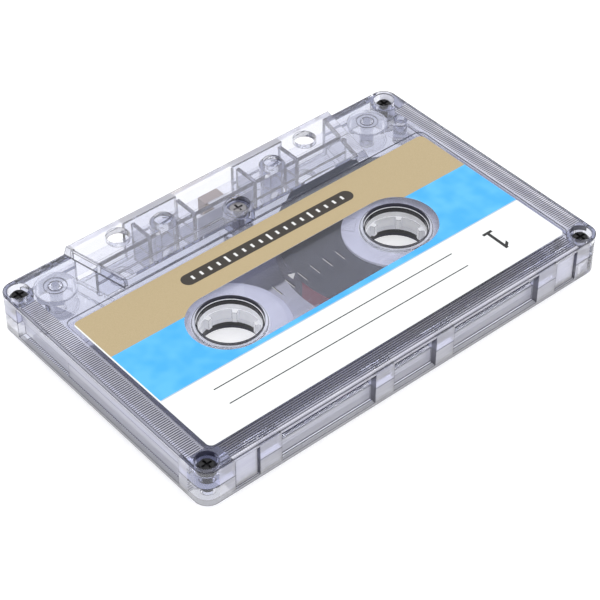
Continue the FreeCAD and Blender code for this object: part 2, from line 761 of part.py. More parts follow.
shield_face = room_wall_y + shield_thick
pad_spring = new_body("pad_spring")
t = spring_thick
pad(pad_spring, "leaf", [("poly", [
    (-spring_flat, -pad_back_y), (spring_flat, -pad_back_y),
    (spring_foot_x + 0.1, -(shield_face + t)), (spring_end_x, -(shield_face + t)),
    (spring_end_x, -shield_face), (spring_foot_x, -shield_face),
    (spring_flat - 0.08, -(pad_back_y - t)), (-(spring_flat - 0.08), -(pad_back_y - t)),
    (-spring_foot_x, -shield_face), (-spring_end_x, -shield_face),
    (-spring_end_x, -(shield_face + t)), (-(spring_foot_x + 0.1), -(shield_face + t))])],
    spring_low, total_height - spring_low)

shield = new_body("shield_plate")
pad(shield, "back", [("rect", -shield_half, shield_half, -shield_face, -room_wall_y)],
    shield_low, total_height - shield_low)
flange = ("rect", -pad_half, pad_half, -shield_flange_y, -(shield_face - 0.1))
pad(shield, "lower_flange", [flange], shield_low, shield_low + shield_thick)
pad(shield, "upper_flange", [flange],
    total_height - shield_low - shield_thick, total_height - shield_low)


# Labels: a sheet with rounded corners and one slot that clears both hubs and the window
def build_label(label, low):
    body = new_body(label)
    pad(body, "paper", [
        ("round", -label_half, label_half, -label_front_y, label_rear_y, label_corner),
        ("slot", -hub_x, hub_x, hub_y, label_slot)], 0.0, label_thick)
    place(body, 0.0, 0.0, low)
    return body


label_b = build_label("label_b", body_low + label_sink - label_thick)
label_a = build_label("label_a", total_height - body_low - label_sink)


# Slip sheets: thin films on the inner faces of the shell halves
def build_slip(label, low):
    body = new_body(label)
    pad(body, "film", [("poly", [
        (-slip_half, -slip_front_y), (slip_half, -slip_front_y),
        (slip_half, slip_rear_y - slip_chamfer), (slip_half - slip_chamfer, slip_rear_y),
        (-(slip_half - slip_chamfer), slip_rear_y), (-slip_half, slip_rear_y - slip_chamfer)])]
        + both([("circle", hub_x, hub_y, slip_hole)]), 0.0, slip_thick)
    place(body, 0.0, 0.0, low)
    return body


slip_b = build_slip("slip_sheet_b", plate_top)
slip_a = build_slip("slip_sheet_a", total_height - plate_top - slip_thick)


# Tape between the windings: a ribbon over both rollers, outlined by its two faces.
def touch_points(centre, radius, pin, pin_radius, side):
    """The outer common tangent of a winding and a roller, on the outer side."""
    dx = pin[0] - centre[0]
    dy = pin[1] - centre[1]
    length = math.hypot(dx, dy)
    turn_by = math.asin((radius - pin_radius) / length)
    base = math.atan2(dy, dx)
    angle = base + side * (math.pi / 2 - turn_by)
    nx, ny = math.cos(angle), math.sin(angle)
    first = (centre[0] + radius * nx, centre[1] + radius * ny)
    second = (pin[0] + pin_radius * nx, pin[1] + pin_radius * ny)
    return first, second


ribbon = new_body("tape_strand")
pin_left = (-roller_x.value, -roller_y.value)
pin_right = (roller_x.value, -roller_y.value)
hub_left = (-hub_x.value, hub_y.value)
hub_right = (hub_x.value, hub_y.value)
near = tape_lift
far = tape_lift + tape_thick
outline = []
for lift, order in ((near, 1), (far, -1)):
    r = roller_core + lift
    pack_l, rol_l = touch_points(hub_left, (pack_radius + lift).value, pin_left, r.value, -1)
    pack_r, rol_r = touch_points(hub_right, (start_radius + lift).value, pin_right, r.value, 1)
    line_y = -(roller_y + r)
    if order == 1:
        outline += [
            (as_dim(pack_l[0]), as_dim(pack_l[1]), None),
            (as_dim(rol_l[0]), as_dim(rol_l[1]), (r, -roller_x, -roller_y)),
            (-roller_x, line_y, None),
            (roller_x, line_y, (r, roller_x, -roller_y)),
            (as_dim(rol_r[0]), as_dim(rol_r[1]), None),
            (as_dim(pack_r[0]), as_dim(pack_r[1]), None)]
    else:
        outline += [
            (as_dim(pack_r[0]), as_dim(pack_r[1]), None),
            (as_dim(rol_r[0]), as_dim(rol_r[1]), (r, roller_x, -roller_y, "clockwise")),
            (roller_x, line_y, None),
            (-roller_x, line_y, (r, -roller_x, -roller_y, "clockwise")),
            (as_dim(rol_l[0]), as_dim(rol_l[1]), None),
            (as_dim(pack_l[0]), as_dim(pack_l[1]), None)]
pad(ribbon, "ribbon", [("path", outline)], tape_low, total_height - tape_low)

doc.recompute()

pieces = [
    shell_b, shell_a, label_b, label_a, slip_b, slip_a, supply_hub, takeup_hub, supply_clamp,
    takeup_clamp, supply_pack, takeup_winding, ribbon, roller_left, roller_right, pressure_pad,
    pad_spring, shield] + screws

problems = []
for obj in doc.Objects:
    state = [word for word in obj.State if word in ("Invalid", "Error")]
    if state:
        problems.append(obj.Name + " " + " ".join(state))
for piece in pieces:
    shape = piece.Shape
    if shape.isNull() or not shape.isValid() or len(shape.Solids) != 1:
        problems.append("%s has %d solids" % (piece.Label, len(shape.Solids)))
if problems:
    raise RuntimeError("; ".join(problems))

os.makedirs("parts", exist_ok=True)
for piece in pieces:
    piece.Shape.exportStep("parts/" + piece.Label + ".step")
    box = piece.Shape.BoundBox
    print("%-24s %9.2f mm3  x %7.2f %7.2f  y %7.2f %7.2f  z %6.2f %6.2f" % (
        piece.Label, piece.Shape.Volume, box.XMin, box.XMax, box.YMin, box.YMax,
        box.ZMin, box.ZMax))
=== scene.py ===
import math

import bmesh
import bpy
from mathutils import Matrix, Vector


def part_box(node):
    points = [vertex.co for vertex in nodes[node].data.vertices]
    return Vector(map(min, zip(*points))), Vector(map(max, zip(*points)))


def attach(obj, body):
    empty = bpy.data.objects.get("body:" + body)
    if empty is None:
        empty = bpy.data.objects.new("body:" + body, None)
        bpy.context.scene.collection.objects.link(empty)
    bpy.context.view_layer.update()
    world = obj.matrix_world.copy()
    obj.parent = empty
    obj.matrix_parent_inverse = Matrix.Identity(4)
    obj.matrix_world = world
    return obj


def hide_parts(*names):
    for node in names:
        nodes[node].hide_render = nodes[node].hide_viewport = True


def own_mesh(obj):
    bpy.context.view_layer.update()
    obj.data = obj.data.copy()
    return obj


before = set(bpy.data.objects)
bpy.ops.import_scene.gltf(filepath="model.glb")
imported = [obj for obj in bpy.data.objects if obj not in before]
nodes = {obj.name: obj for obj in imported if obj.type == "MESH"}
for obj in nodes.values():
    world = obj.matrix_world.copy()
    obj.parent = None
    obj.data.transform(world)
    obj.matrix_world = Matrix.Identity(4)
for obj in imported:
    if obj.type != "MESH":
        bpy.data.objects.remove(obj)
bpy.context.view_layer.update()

MM = 0.001


# Places taken from the frame, in millimetres
def span_mm(name):
    low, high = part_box(name)
    return low / MM, high / MM


SHELL_LOW, SHELL_HIGH = span_mm("shell_a")
LABEL_LOW, LABEL_HIGH = span_mm("label_a")
HUB_LOW, HUB_HIGH = span_mm("supply_hub")
PACK_LOW, PACK_HIGH = span_mm("supply_tape_pack")
PARTING = SHELL_LOW.z
HALF_X = SHELL_HIGH.x
HALF_Y = SHELL_HIGH.y
HUB_X = -(HUB_LOW.x + HUB_HIGH.x) / 2
HUB_Y = (HUB_LOW.y + HUB_HIGH.y) / 2
SEAT_TOP = LABEL_LOW.z


# Shader helpers
class Graph:
    """One material and short names for its nodes."""

    def __init__(self, name):
        self.material = bpy.data.materials.new(name)
        self.material.use_nodes = True
        self.tree = self.material.node_tree
        self.tree.nodes.clear()
        self.out = self.tree.nodes.new("ShaderNodeOutputMaterial")
        self.place = None

    def put(self, socket, value):
        if isinstance(value, bpy.types.NodeSocket):
            self.tree.links.new(value, socket)
        elif socket.type == "RGBA" and len(value) == 3:
            socket.default_value = (*value, 1.0)
        else:
            socket.default_value = value

    def node(self, kind, settings=None, **inputs):
        made = self.tree.nodes.new("ShaderNode" + kind)
        for key, value in (settings or {}).items():
            setattr(made, key, value)
        for key, value in inputs.items():
            self.put(made.inputs[key.replace("_", " ")], value)
        return made

    def math(self, operation, *values):
        made = self.tree.nodes.new("ShaderNodeMath")
        made.operation = operation
        for socket, value in zip(made.inputs, values):
            self.put(socket, value)
        return made.outputs[0]

    def above(self, value, level):
        return self.math("GREATER_THAN", value, level)

    def below(self, value, level):
        return self.math("LESS_THAN", value, level)

    def scaled(self, value, share):
        return self.math("MULTIPLY", value, share)

    def size(self, value):
        return self.math("ABSOLUTE", value)

    def length(self, first, second):
        """Length of a vector with these two parts."""
        return self.math("SQRT", self.math(
            "ADD", self.math("POWER", first, 2.0), self.math("POWER", second, 2.0)))

    def coords(self):
        """Object coordinates in millimetres: x, y and z."""
        if self.place is None:
            source = self.tree.nodes.new("ShaderNodeTexCoord")
            scale = self.tree.nodes.new("ShaderNodeVectorMath")
            scale.operation = "SCALE"
            scale.inputs["Scale"].default_value = 1 / MM
            self.tree.links.new(source.outputs["Object"], scale.inputs[0])
            split = self.tree.nodes.new("ShaderNodeSeparateXYZ")
            self.tree.links.new(scale.outputs[0], split.inputs[0])
            self.vector = scale.outputs[0]
            self.place = split.outputs["X"], split.outputs["Y"], split.outputs["Z"]
        return self.place

    def between(self, value, low, high):
        return self.scaled(self.above(value, low), self.below(value, high))

    def both(self, *masks):
        result = masks[0]
        for mask in masks[1:]:
            result = self.scaled(result, mask)
        return result

    def either(self, *masks):
        result = masks[0]
        for mask in masks[1:]:
            result = self.math("MAXIMUM", result, mask)
        return result

    def strongest(self, *pairs):
        """The largest share of the masks that hold at a point."""
        return self.either(*[self.scaled(mask, share) for mask, share in pairs])

    def colour(self, factor, first, second):
        made = self.tree.nodes.new("ShaderNodeMix")
        made.data_type = "RGBA"
        self.put(made.inputs[0], factor)
        self.put(made.inputs[6], first)
        self.put(made.inputs[7], second)
        return made.outputs[2]

    def noise(self, scale, detail=2.0, vector=None):
        self.coords()
        made = self.node("TexNoise", Scale=scale, Detail=detail)
        self.tree.links.new(vector or self.vector, made.inputs["Vector"])
        return made.outputs["Fac"]

    def ramp(self, value, low, high):
        made = self.node("MapRange", From_Min=low, From_Max=high, To_Min=0.0, To_Max=1.0)
        self.put(made.inputs["Value"], value)
        return made.outputs["Result"]

    def bump(self, height, strength, distance):
        made = self.node("Bump", Strength=strength, Distance=distance)
        self.put(made.inputs["Height"], height)
        return made.outputs["Normal"]

    def edges(self, reach):
        """1 along every sharp edge, fading to 0 at reach millimetres from it."""
        rounded = self.node("Bevel", {"samples": 6}, Radius=reach * MM)
        flat = self.tree.nodes.new("ShaderNodeNewGeometry")
        facing = self.tree.nodes.new("ShaderNodeVectorMath")
        facing.operation = "DOT_PRODUCT"
        self.tree.links.new(rounded.outputs["Normal"], facing.inputs[0])
        self.tree.links.new(flat.outputs["Normal"], facing.inputs[1])
        straight = self.size(facing.outputs["Value"])
        return self.ramp(self.math("SUBTRACT", 1.0, straight), EDGE_FAINT, EDGE_FULL)

    def stretched(self, scale_x, scale_y, scale_z):
        """Object coordinates in millimetres, scaled differently along each axis."""
        self.coords()
        made = self.node("Mapping", Scale=(scale_x, scale_y, scale_z))
        self.tree.links.new(self.vector, made.inputs["Vector"])
        return made.outputs[0]

    def ring_distance(self, centre_x, centre_y):
        """Distance in plan from a point at (+-centre_x, centre_y)."""
        x, y, z = self.coords()
        across = self.math("SUBTRACT", self.size(x), centre_x)
        along = self.math("SUBTRACT", y, centre_y)
        return self.length(across, along)

    def mix(self, factor, first, second):
        mixed = self.tree.nodes.new("ShaderNodeMixShader")
        self.put(mixed.inputs[0], factor)
        self.tree.links.new(first.outputs[0], mixed.inputs[1])
        self.tree.links.new(second.outputs[0], mixed.inputs[2])
        return mixed

    def shader(self, **inputs):
        return self.node("BsdfPrincipled", **inputs)

    def finish(self, surface):
        source = surface.outputs[0] if hasattr(surface, "outputs") else surface
        self.tree.links.new(source, self.out.inputs["Surface"])
        return self.material


def light_through(graph, surface, tint):
    """Lets lamp light straight through a clear piece, tinted, so that the inside is lit."""
    path = graph.tree.nodes.new("ShaderNodeLightPath")
    clear = graph.node("BsdfTransparent", Color=tint)
    return graph.mix(path.outputs["Is Shadow Ray"], surface, clear)


def deep_glow(graph, surface):
    """Light caught between the walls ends as an even grey, as it would after many bounces."""
    path = graph.tree.nodes.new("ShaderNodeLightPath")
    caught = graph.above(path.outputs["Ray Depth"], CAUGHT_DEPTH)
    return graph.mix(caught, surface, graph.node("Emission", Color=CAUGHT_COLOUR))


# Clear plastic: tints and painted shade colours, then places in millimetres and shares of painted
# light
CAUGHT_DEPTH = 6.5
CAUGHT_COLOUR = (0.44, 0.455, 0.55)
CLEAR_TINT = (0.84, 0.85, 0.91)
GROOVE_SHADE = (0.35, 0.36, 0.42)
LINE_SHADE = (0.014, 0.014, 0.032)
BEND = 1.2
EDGE_FAINT, EDGE_FULL = 0.015, 0.12
EDGE_REACH = 0.3
SKIN = 0.1
BODY_TOP = SHELL_HIGH.z - 1.65
BODY_BOTTOM = 1.65
HEAD_TOP = SHELL_HIGH.z - 0.05
HEAD_REAR = -24.6
RIB_PITCH = 0.508
SIDE_RIB_IN, SIDE_RIB_OUT = 46.2, 49.6
SIDE_RIB_FRONT, SIDE_RIB_REAR = -24.5, 26.4
REAR_RIB_FRONT, REAR_RIB_REAR, REAR_RIB_HALF = 27.3, 31.0, 43.6
RECESS_LOW, RECESS_HIGH = 2.4, 9.9
POST_X, POST_Y = 46.8, 27.0
HOLE_RADIUS = 6.55
SCREW_X, SCREW_Y, WELL_RADIUS = 47.2, 28.9, 2.2
HOLE_SPANS = (9.3, 10.28), (1.72, 2.7)
WELL_SPAN = (9.2, 10.3)
FOOT_SPAN = (1.66, 3.3)
ROUND_TOP, ROUND_BOTTOM = 9.6, 2.3
ROUND_SLOPES = (0.12, 0.5), (0.82, 0.985)
PAINTED_LIGHT_LOW = 2.6
BESIDE_FRONT = -12.0
WALL_PAINTED_LIGHT = 0.42
POST_CLEARING = 0.95
SIDE_PAINTED_LIGHT = 0.36
REAR_PAINTED_LIGHT = 0.1
UPRIGHT = 0.5


def near_wall(g, reach_x, reach_y):
    """Within reach of a side wall, or of the rear wall."""
    x, y, z = g.coords()
    return g.either(g.above(g.size(x), HALF_X - reach_x), g.above(y, HALF_Y - reach_y))


def clear_shell():
    """Clear plastic with ribs, pale patches of painted light on walls and lips, and painted dark
    lines of shade along its edges.
    """
    g = Graph("clear_smoky_plastic")
    x, y, z = g.coords()
    across = g.size(x)
    facing = g.node("SeparateXYZ", Vector=g.node("TexCoord").outputs["Normal"])
    slope = g.size(facing.outputs["Z"])
    upright = g.below(slope, UPRIGHT)

    outside = g.either(
        g.between(z, BODY_TOP - SKIN, BODY_TOP + SKIN),
        g.between(z, BODY_BOTTOM - SKIN, BODY_BOTTOM + SKIN))
    beside_rear = g.below(across, REAR_RIB_HALF)
    side_band = g.both(
        g.between(across, SIDE_RIB_IN, SIDE_RIB_OUT),
        g.between(y, SIDE_RIB_FRONT, SIDE_RIB_REAR))
    rear_band = g.both(g.between(y, REAR_RIB_FRONT, REAR_RIB_REAR), beside_rear)
    ribbed = g.both(outside, g.either(side_band, rear_band))
    wave = g.math("PINGPONG", y, RIB_PITCH / 2)
    trough = g.ramp(wave, RIB_PITCH * 0.30, RIB_PITCH * 0.14)
    groove = g.both(ribbed, trough)
    grain = g.scaled(g.noise(0.35, 3.0), 0.05)
    height = g.math("ADD", g.scaled(wave, ribbed), grain)
    # Painted shade: the rib grooves get a darker base colour.
    glass = g.shader(
        Base_Color=g.colour(groove, CLEAR_TINT, GROOVE_SHADE),
        Roughness=0.0, IOR=BEND, Transmission_Weight=1.0,
        Coat_Weight=1.0, Coat_IOR=1.5, Coat_Roughness=0.02,
        Normal=g.bump(height, 0.4, 0.001))

    # Painted light: pale diffuse patches on the walls, rib bands, lips, beside the label and on
    # the head plate stand in for light seen through the clear plastic and cover the shade seen
    # through it.
    streak = g.noise(1.0, 3.0, g.stretched(0.15, 0.15, 6.0))
    pale = g.colour(g.ramp(streak, 0.35, 0.65), (0.78, 0.78, 0.90), (0.92, 0.92, 0.99))
    painted_pale_light = g.shader(Base_Color=pale, Roughness=0.35)
    wall = g.both(near_wall(g, 1.8, 2.0), g.between(z, PAINTED_LIGHT_LOW, RECESS_HIGH))
    post = g.both(g.above(across, POST_X), g.above(y, POST_Y))
    wall_share = g.math("SUBTRACT", WALL_PAINTED_LIGHT, g.scaled(post, WALL_PAINTED_LIGHT * POST_CLEARING))
    beside_label = g.both(
        outside, g.between(across, LABEL_HIGH.x, SIDE_RIB_IN),
        g.between(y, BESIDE_FRONT, SIDE_RIB_REAR))
    on_head = g.above(z, HEAD_TOP)
    front_lip = g.both(on_head, g.below(y, 1.5 - HALF_Y))
    head_plate = g.both(on_head, g.below(y, 0.0))
    rear_lip = g.both(outside, g.between(y, REAR_RIB_REAR, HALF_Y - 0.15), beside_rear)
    painted_light_share = g.strongest(
        (wall, wall_share), (g.both(outside, side_band), SIDE_PAINTED_LIGHT),
        (g.both(outside, rear_band), REAR_PAINTED_LIGHT), (beside_label, 0.25),
        (front_lip, 0.5), (head_plate, 0.13), (rear_lip, 0.6))
    soft = g.mix(painted_light_share, glass, painted_pale_light)

    # Painted shade: a neutral grey band along the foot of the outer walls, for the shade under the
    # shell's bottom edge.
    foot_rim = g.both(g.between(z, *FOOT_SPAN), near_wall(g, 0.9, 0.9))
    foot_rim_shade = g.shader(Base_Color=(0.34, 0.34, 0.345), Roughness=0.4)
    soft = g.mix(g.scaled(foot_rim, 0.6), soft, foot_rim_shade)

    # Painted shade: dark lines where the clear plastic shows dark by refraction and shade: along
    # sharp edges, rib grooves and borders, the hub holes, the screw wells, the recess ends, under
    # the top lip, the rounded outer edges and the foot of the head. The seam is the real joint of
    # the two halves, and the rear lip also gets fine cross lines.
    head_groove = g.both(on_head, g.above(y, HEAD_REAR), trough)
    hole_wall = g.both(
        g.between(g.ring_distance(HUB_X, HUB_Y), HOLE_RADIUS - SKIN, HOLE_RADIUS + SKIN),
        g.either(*[g.between(z, *span) for span in HOLE_SPANS]))
    rear_ends = g.both(
        g.above(g.size(facing.outputs["X"]), 0.9), g.above(y, HALF_Y - 1.3),
        g.below(across, POST_X))
    side_ends = g.both(
        g.above(g.size(facing.outputs["Y"]), 0.9), g.above(across, HALF_X - 1.7),
        g.between(y, -11.0, -10.0))
    recess_ends = g.both(
        g.either(rear_ends, side_ends), g.between(z, RECESS_LOW, RECESS_HIGH))
    seam = g.both(near_wall(g, 0.25, 0.25), g.between(z, PARTING - 0.13, PARTING + 0.13))
    top_lip = g.both(
        g.between(z, BODY_TOP - 0.25, BODY_TOP + 0.01), near_wall(g, 4.2, 4.2), upright)
    rounded = g.both(
        near_wall(g, 1.2, 1.2), g.either(g.above(z, ROUND_TOP), g.below(z, ROUND_BOTTOM)),
        g.either(*[g.between(slope, *span) for span in ROUND_SLOPES]))
    rib_border = g.both(outside, g.either(
        g.both(g.between(across, SIDE_RIB_OUT, SIDE_RIB_OUT + 0.14),
               g.between(y, SIDE_RIB_FRONT, SIDE_RIB_REAR)),
        g.both(g.between(y, REAR_RIB_REAR, REAR_RIB_REAR + 0.12), beside_rear)))
    head_foot = g.both(
        upright, g.between(z, BODY_TOP - 0.01, BODY_TOP + 0.23),
        g.above(g.size(facing.outputs["X"]), 0.5), g.below(y, -10.0))
    well = g.both(
        upright, g.between(z, *WELL_SPAN), g.above(facing.outputs["Y"], 0.2),
        g.below(g.ring_distance(SCREW_X, SCREW_Y), WELL_RADIUS + 0.06))
    edge_strip = g.both(outside, near_wall(g, 0.5, 0.4))
    cross_wave = g.ramp(g.math("PINGPONG", x, 0.25), 0.10, 0.05)
    drawn = g.strongest(
        (head_foot, 0.75), (well, 0.85), (edge_strip, 0.4), (g.edges(EDGE_REACH), 0.88),
        (groove, 1.0), (head_groove, 0.22), (recess_ends, 0.75), (seam, 0.5),
        (hole_wall, 1.0), (top_lip, 0.85), (g.both(rear_lip, cross_wave), 0.3),
        (rounded, 0.8), (rib_border, 0.8))
    soft = g.mix(drawn, soft, g.shader(Base_Color=LINE_SHADE, Roughness=0.3))
    return g.finish(light_through(g, deep_glow(g, soft), (0.90, 0.91, 0.94)))


def slip_film():
    """A thin sheet that hardly shows."""
    g = Graph("slip_film")
    glossy = g.node("BsdfGlossy", Color=(0.9, 0.9, 0.95), Roughness=0.25)
    clear = g.node("BsdfTransparent", Color=(0.93, 0.93, 0.96))
    return g.finish(g.mix(0.02, clear, glossy))


# Hubs and rollers, in millimetres
BORE_WALL, TEETH_ROOT, LIP_DEEP = 6.4, 5.7, 0.95
ROLLER_TOP = 8.45


def frosted(name, colour, roughness, weight, lip=False):
    """Milky plastic with fine painted dark lines along its edges and a faint painted glow. A hub
    also has a painted black lip and drive teeth drawn with painted dark edges.
    """
    g = Graph(name)
    cloud = g.noise(0.8, 3.0)
    tint = g.colour(g.ramp(cloud, 0.3, 0.7), colour, [c * 0.93 for c in colour])
    # Painted shade: the sharp edges darken.
    tint = g.colour(g.scaled(g.edges(0.14), 0.75), tint, (0.20, 0.20, 0.24))
    # Emission_Strength 0.05 is a faint painted glow, for light carried through the milky plastic.
    glass = g.shader(
        Base_Color=tint, Roughness=roughness, IOR=1.46, Transmission_Weight=weight,
        Emission_Color=(0.9, 0.9, 1.0, 1.0), Emission_Strength=0.05,
        Normal=g.bump(g.noise(3.0, 2.0), 0.08, 0.0002))
    if lip:
        x, y, z = g.coords()
        from_axis = g.ring_distance(HUB_X, HUB_Y)
        # Painted shade: the bore goes black within LIP_DEEP of its top and bottom, and the drive
        # teeth get dark edges.
        rim = g.both(
            g.below(from_axis, BORE_WALL),
            g.either(g.above(z, HUB_HIGH.z - LIP_DEEP), g.below(z, HUB_LOW.z + LIP_DEEP)))
        painted_black_shade = g.shader(Base_Color=(0.008, 0.008, 0.012), Roughness=0.2)
        glass = g.mix(rim, glass, painted_black_shade)
        drive = g.both(g.below(from_axis, TEETH_ROOT), g.edges(0.16))
        glass = g.mix(g.scaled(drive, 0.7), glass, painted_black_shade)
    return g.finish(light_through(g, glass, (0.86, 0.87, 0.90)))


def thin_clear(name, tint, line):
    """A nearly clear small piece, drawn mostly by painted dark lines along its edges."""
    g = Graph(name)
    cloud = g.ramp(g.noise(1.2, 2.0), 0.3, 0.7)
    body = g.colour(cloud, tint, [c * 0.96 for c in tint])
    # Painted shade: the edges take the darker line colour.
    colour = g.colour(g.edges(0.15), body, line)
    x, y, z = g.coords()
    glass = g.shader(
        Base_Color=colour, Roughness=0.05, IOR=1.08, Transmission_Weight=1.0,
        Coat_Weight=1.0, Coat_IOR=1.5, Coat_Roughness=0.05)
    milk = g.shader(Base_Color=(0.90, 0.91, 0.95), Roughness=0.4)
    top = g.scaled(g.above(z, ROLLER_TOP), 0.22)
    return g.finish(light_through(g, deep_glow(g, g.mix(top, glass, milk)), (0.88, 0.89, 0.93)))


PATCH_ANGLES = (-0.02, 0.42)


def wound_tape():
    """Edges of the turns on the flat faces, brown tape round the outside."""
    g = Graph("wound_tape")
    x, y, z = g.coords()
    dx = g.math("ADD", x, HUB_X)
    dy = g.math("SUBTRACT", y, HUB_Y)
    radius = g.length(dx, dy)
    ring = g.tree.nodes.new("ShaderNodeCombineXYZ")
    g.tree.links.new(g.scaled(radius, 5.0), ring.inputs["X"])
    rings = g.noise(1.0, 4.0, ring.outputs[0])
    face = g.colour(g.ramp(rings, 0.3, 0.7), (0.034, 0.041, 0.058), (0.056, 0.064, 0.086))
    rim = g.above(radius, (PACK_HIGH.x - PACK_LOW.x) / 2 - 0.15)
    # One reddish sector of the outer side, between PATCH_ANGLES; the rest of the side is darker.
    red_sector = g.between(g.math("ARCTAN2", dy, dx), *PATCH_ANGLES)
    side = g.colour(red_sector, (0.13, 0.125, 0.15), (0.36, 0.10, 0.13))
    colour = g.colour(rim, face, side)
    return g.finish(g.shader(
        Base_Color=colour, Roughness=0.36, Specular_IOR_Level=0.45,
        Normal=g.bump(rings, 0.25, 0.0001)))


# Print of the label. It sits very slightly turned on the shell.
LABEL_TURN = 0.0125
GOLD_END = -2.19
BLUE_END = 12.8
LINE_Y = (16.62, 21.17)
LINE_FROM, LINE_TO = -23.4, 35.4
LINE_HALF = 0.13
PILL_X = (-21.0, 22.0)
PILL_Y = -10.1
PILL_RADIUS = 1.6
TICK_PITCH = 2.1
TICK_HALF = 0.26
BORDER = 0.3
PAPER_GLOW = (0.52, 0.52, 0.53)
FIGURE_X, FIGURE_Y = -33.0, 16.7
FIGURE_TALL, FIGURE_WIDE = 6.0, 1.9
FIGURE_HALF = 0.36


def label_print(name, side):
    """Printed on the face that looks out (side 1 up, -1 down), bare paper on its back, painted
    grey as shade.
    """
    g = Graph(name)
    x, y, z = g.coords()
    if side < 0:
        x = g.scaled(x, -1.0)
    level = g.math("ADD", y, g.scaled(x, LABEL_TURN))
    paper = g.noise(4.0, 3.0)
    fleck = g.ramp(g.noise(9.0, 4.0), 0.35, 0.65)
    gold = g.colour(fleck, (0.44, 0.345, 0.19), (0.51, 0.405, 0.24))
    sky = g.colour(g.ramp(g.noise(0.25, 1.0), 0.35, 0.65), (0.055, 0.43, 0.90), (0.10, 0.50, 0.94))
    white = g.colour(g.ramp(paper, 0.3, 0.7), (0.85, 0.87, 0.87), (0.90, 0.925, 0.92))
    colour = g.colour(g.below(level, BLUE_END), white, sky)
    colour = g.colour(
        g.between(level, BLUE_END - 0.12, BLUE_END + 0.12), colour, (0.45, 0.55, 0.66))
    colour = g.colour(g.below(level, GOLD_END), colour, gold)
    colour = g.colour(g.above(x, LABEL_HIGH.x - BORDER), colour, white)
    for line in LINE_Y:
        rule = g.both(
            g.between(level, line - LINE_HALF, line + LINE_HALF),
            g.between(x, LINE_FROM, LINE_TO))
        colour = g.colour(rule, colour, (0.03, 0.03, 0.035))
    middle = (PILL_X[0] + PILL_X[1]) / 2
    half = (PILL_X[1] - PILL_X[0]) / 2 - PILL_RADIUS
    along = g.math("SUBTRACT", x, middle)
    off = g.size(along)
    past = g.math("MAXIMUM", g.math("SUBTRACT", off, half), 0.0)
    rise = g.math("SUBTRACT", level, PILL_Y)
    pill = g.below(g.length(past, rise), PILL_RADIUS)
    colour = g.colour(pill, colour, (0.035, 0.028, 0.022))
    step = g.math("PINGPONG", along, TICK_PITCH / 2)
    long_step = g.math("PINGPONG", along, TICK_PITCH * 2.5)
    tall = g.math("ADD", 0.55, g.scaled(g.below(long_step, 0.6), 0.4))
    tick = g.both(
        g.below(step, TICK_HALF), g.below(off, half - 0.3),
        g.below(g.size(rise), tall))
    colour = g.colour(tick, colour, (0.80, 0.80, 0.80))
    colour = g.colour(side_figure(g, x, y, side), colour, (0.02, 0.02, 0.022))
    facing = g.node("SeparateXYZ", Vector=g.node("TexCoord").outputs["Normal"])
    front = g.above(g.scaled(facing.outputs["Z"], float(side)), 0.0)
    # Painted shade: the bare white paper of the back is greyed for the shade inside the shell.
    back = g.colour(g.ramp(g.noise(3.0, 3.0), 0.3, 0.7), (0.60, 0.60, 0.62), (0.66, 0.66, 0.68))
    return g.finish(light_through(g, g.shader(
        Base_Color=g.colour(front, back, colour), Roughness=0.38, Specular_IOR_Level=0.45,
        Normal=g.bump(paper, 0.06, 0.0001)), PAPER_GLOW))


def side_figure(g, x, y, side):
    """The plain figure of the side: 1 on top, 2 below, drawn with bars."""
    u = g.math("SUBTRACT", x, FIGURE_X)
    v = g.math("SUBTRACT", y, FIGURE_Y)

    def bar(u0, u1, v0, v1):
        return g.both(g.between(u, u0, u1), g.between(v, v0, v1))

    wide, tall, thick = FIGURE_WIDE, FIGURE_TALL, FIGURE_HALF * 2
    if side > 0:
        slant = g.math("SUBTRACT", v, g.scaled(u, 0.8))
        flag = g.both(
            g.between(u, -1.25, 0.0), g.between(slant, tall - thick * 1.1, tall),
            g.below(v, tall))
        foot = bar(-1.2, 1.2, 0.0, thick * 0.9)
        return g.either(bar(-thick / 2, thick / 2, 0.0, tall), flag, foot)
    half = tall / 2
    return g.either(
        bar(-wide, wide, 0.0, thick), bar(-wide, wide, tall - thick, tall),
        bar(-wide, wide, half - thick / 2, half + thick / 2),
        bar(-wide, -wide + thick, 0.0, half), bar(wide - thick, wide, half, tall))


def metal(name, colour, roughness, streak):
    """Metal with fine lines along one direction."""
    g = Graph(name)
    lines = g.noise(2.0, 3.0, g.stretched(*streak))
    tint = g.colour(g.ramp(lines, 0.3, 0.7), [c * 0.85 for c in colour], colour)
    return g.finish(g.shader(
        Base_Color=tint, Metallic=1.0, Roughness=roughness,
        Normal=g.bump(lines, 0.15, 0.0001)))


def black_screw():
    """Blackened metal, a little worn."""
    g = Graph("black_screw")
    worn = g.ramp(g.noise(2.5, 4.0), 0.45, 0.7)
    colour = g.colour(worn, (0.012, 0.012, 0.014), (0.03, 0.03, 0.034))
    return g.finish(g.shader(
        Base_Color=colour, Metallic=0.4, Roughness=0.3, Normal=g.bump(worn, 0.1, 0.0001)))


def felt():
    """Woven brown felt."""
    g = Graph("felt")
    x, y, z = g.coords()
    weave_a = g.math("PINGPONG", g.math("ADD", x, z), 0.25)
    weave_b = g.math("PINGPONG", g.math("SUBTRACT", x, z), 0.25)
    weave = g.math("ADD", weave_a, weave_b)
    fuzz = g.noise(6.0, 4.0)
    colour = g.colour(g.ramp(weave, 0.1, 0.4), (0.20, 0.14, 0.12), (0.42, 0.33, 0.29))
    return g.finish(g.shader(
        Base_Color=colour, Roughness=0.95, Sheen_Weight=0.3,
        Normal=g.bump(g.math("ADD", weave, fuzz), 0.5, 0.0003)))


def window_ink(name, colour):
    """Slightly uneven print."""
    g = Graph(name)
    tint = g.colour(g.ramp(g.noise(5.0), 0.3, 0.7), [c * 0.8 for c in colour], colour)
    return g.finish(g.shader(Base_Color=tint, Roughness=0.4))


